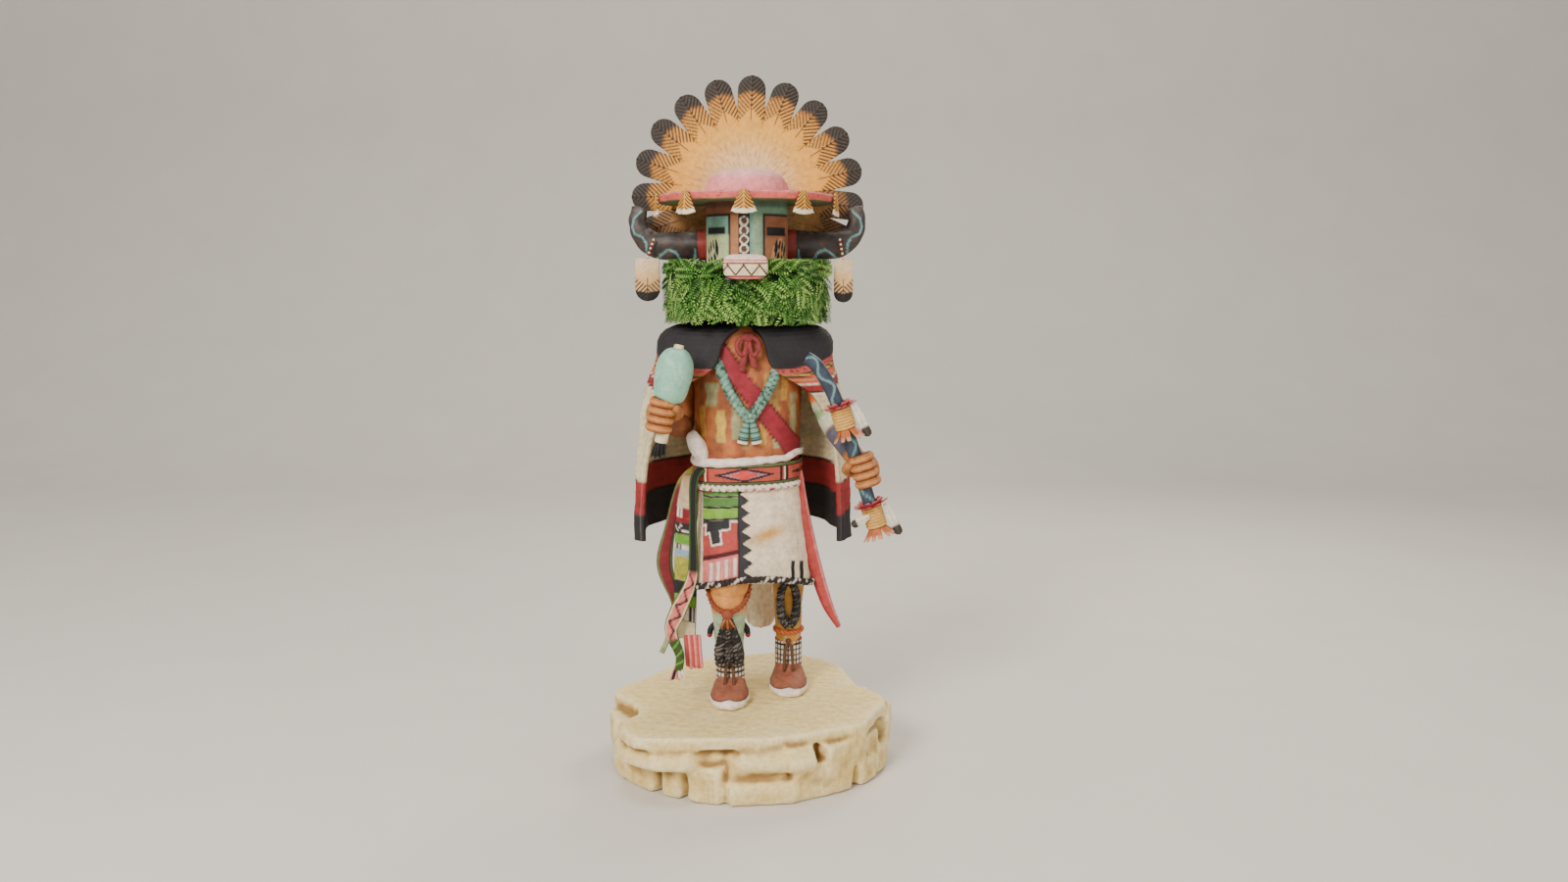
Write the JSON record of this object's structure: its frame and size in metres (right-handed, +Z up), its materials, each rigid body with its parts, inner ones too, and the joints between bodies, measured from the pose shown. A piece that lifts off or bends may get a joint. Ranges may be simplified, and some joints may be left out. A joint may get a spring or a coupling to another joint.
{
  "type": "kachina doll",
  "caption": "Carved and painted wooden dancer with feather crown, horned case mask, evergreen ruff, cape and kilt, holding rattle and crook, on a rock-ledge base.",
  "frame": {"origin": "middle of the base's flat underside", "axes": "+Z up along the figure, -Y the way the figure faces, +X to the figure's left"},
  "size_m": [0.1475, 0.139, 0.3482],
  "materials": {
    "pale_wood": "matt, sealed",
    "painted_wood": "matt paint in many colours",
    "feather_paint": "matt paint with fine barb cuts",
    "horn_paint": "satin paint",
    "gourd_paint": "satin paint",
    "evergreen": "dyed sprigs",
    "down": "matt paint with fine cuts"
  },
  "bodies": {
    "root": {"base": "pale_wood", "figure": "painted_wood", "feather_crown": "feather_paint", "horn_right": "horn_paint", "horn_left": "horn_paint", "snout": "painted_wood", "evergreen_ruff": "evergreen", "rattle": "gourd_paint", "crook_staff": "horn_paint", "pendant_feather_right": "feather_paint", "pendant_feather_left": "feather_paint", "brim_tassel_1": "down", "brim_tassel_2": "down", "brim_tassel_3": "down", "brim_tassel_4": "down", "brim_tassel_5": "down"}
  },
  "joints": []
}
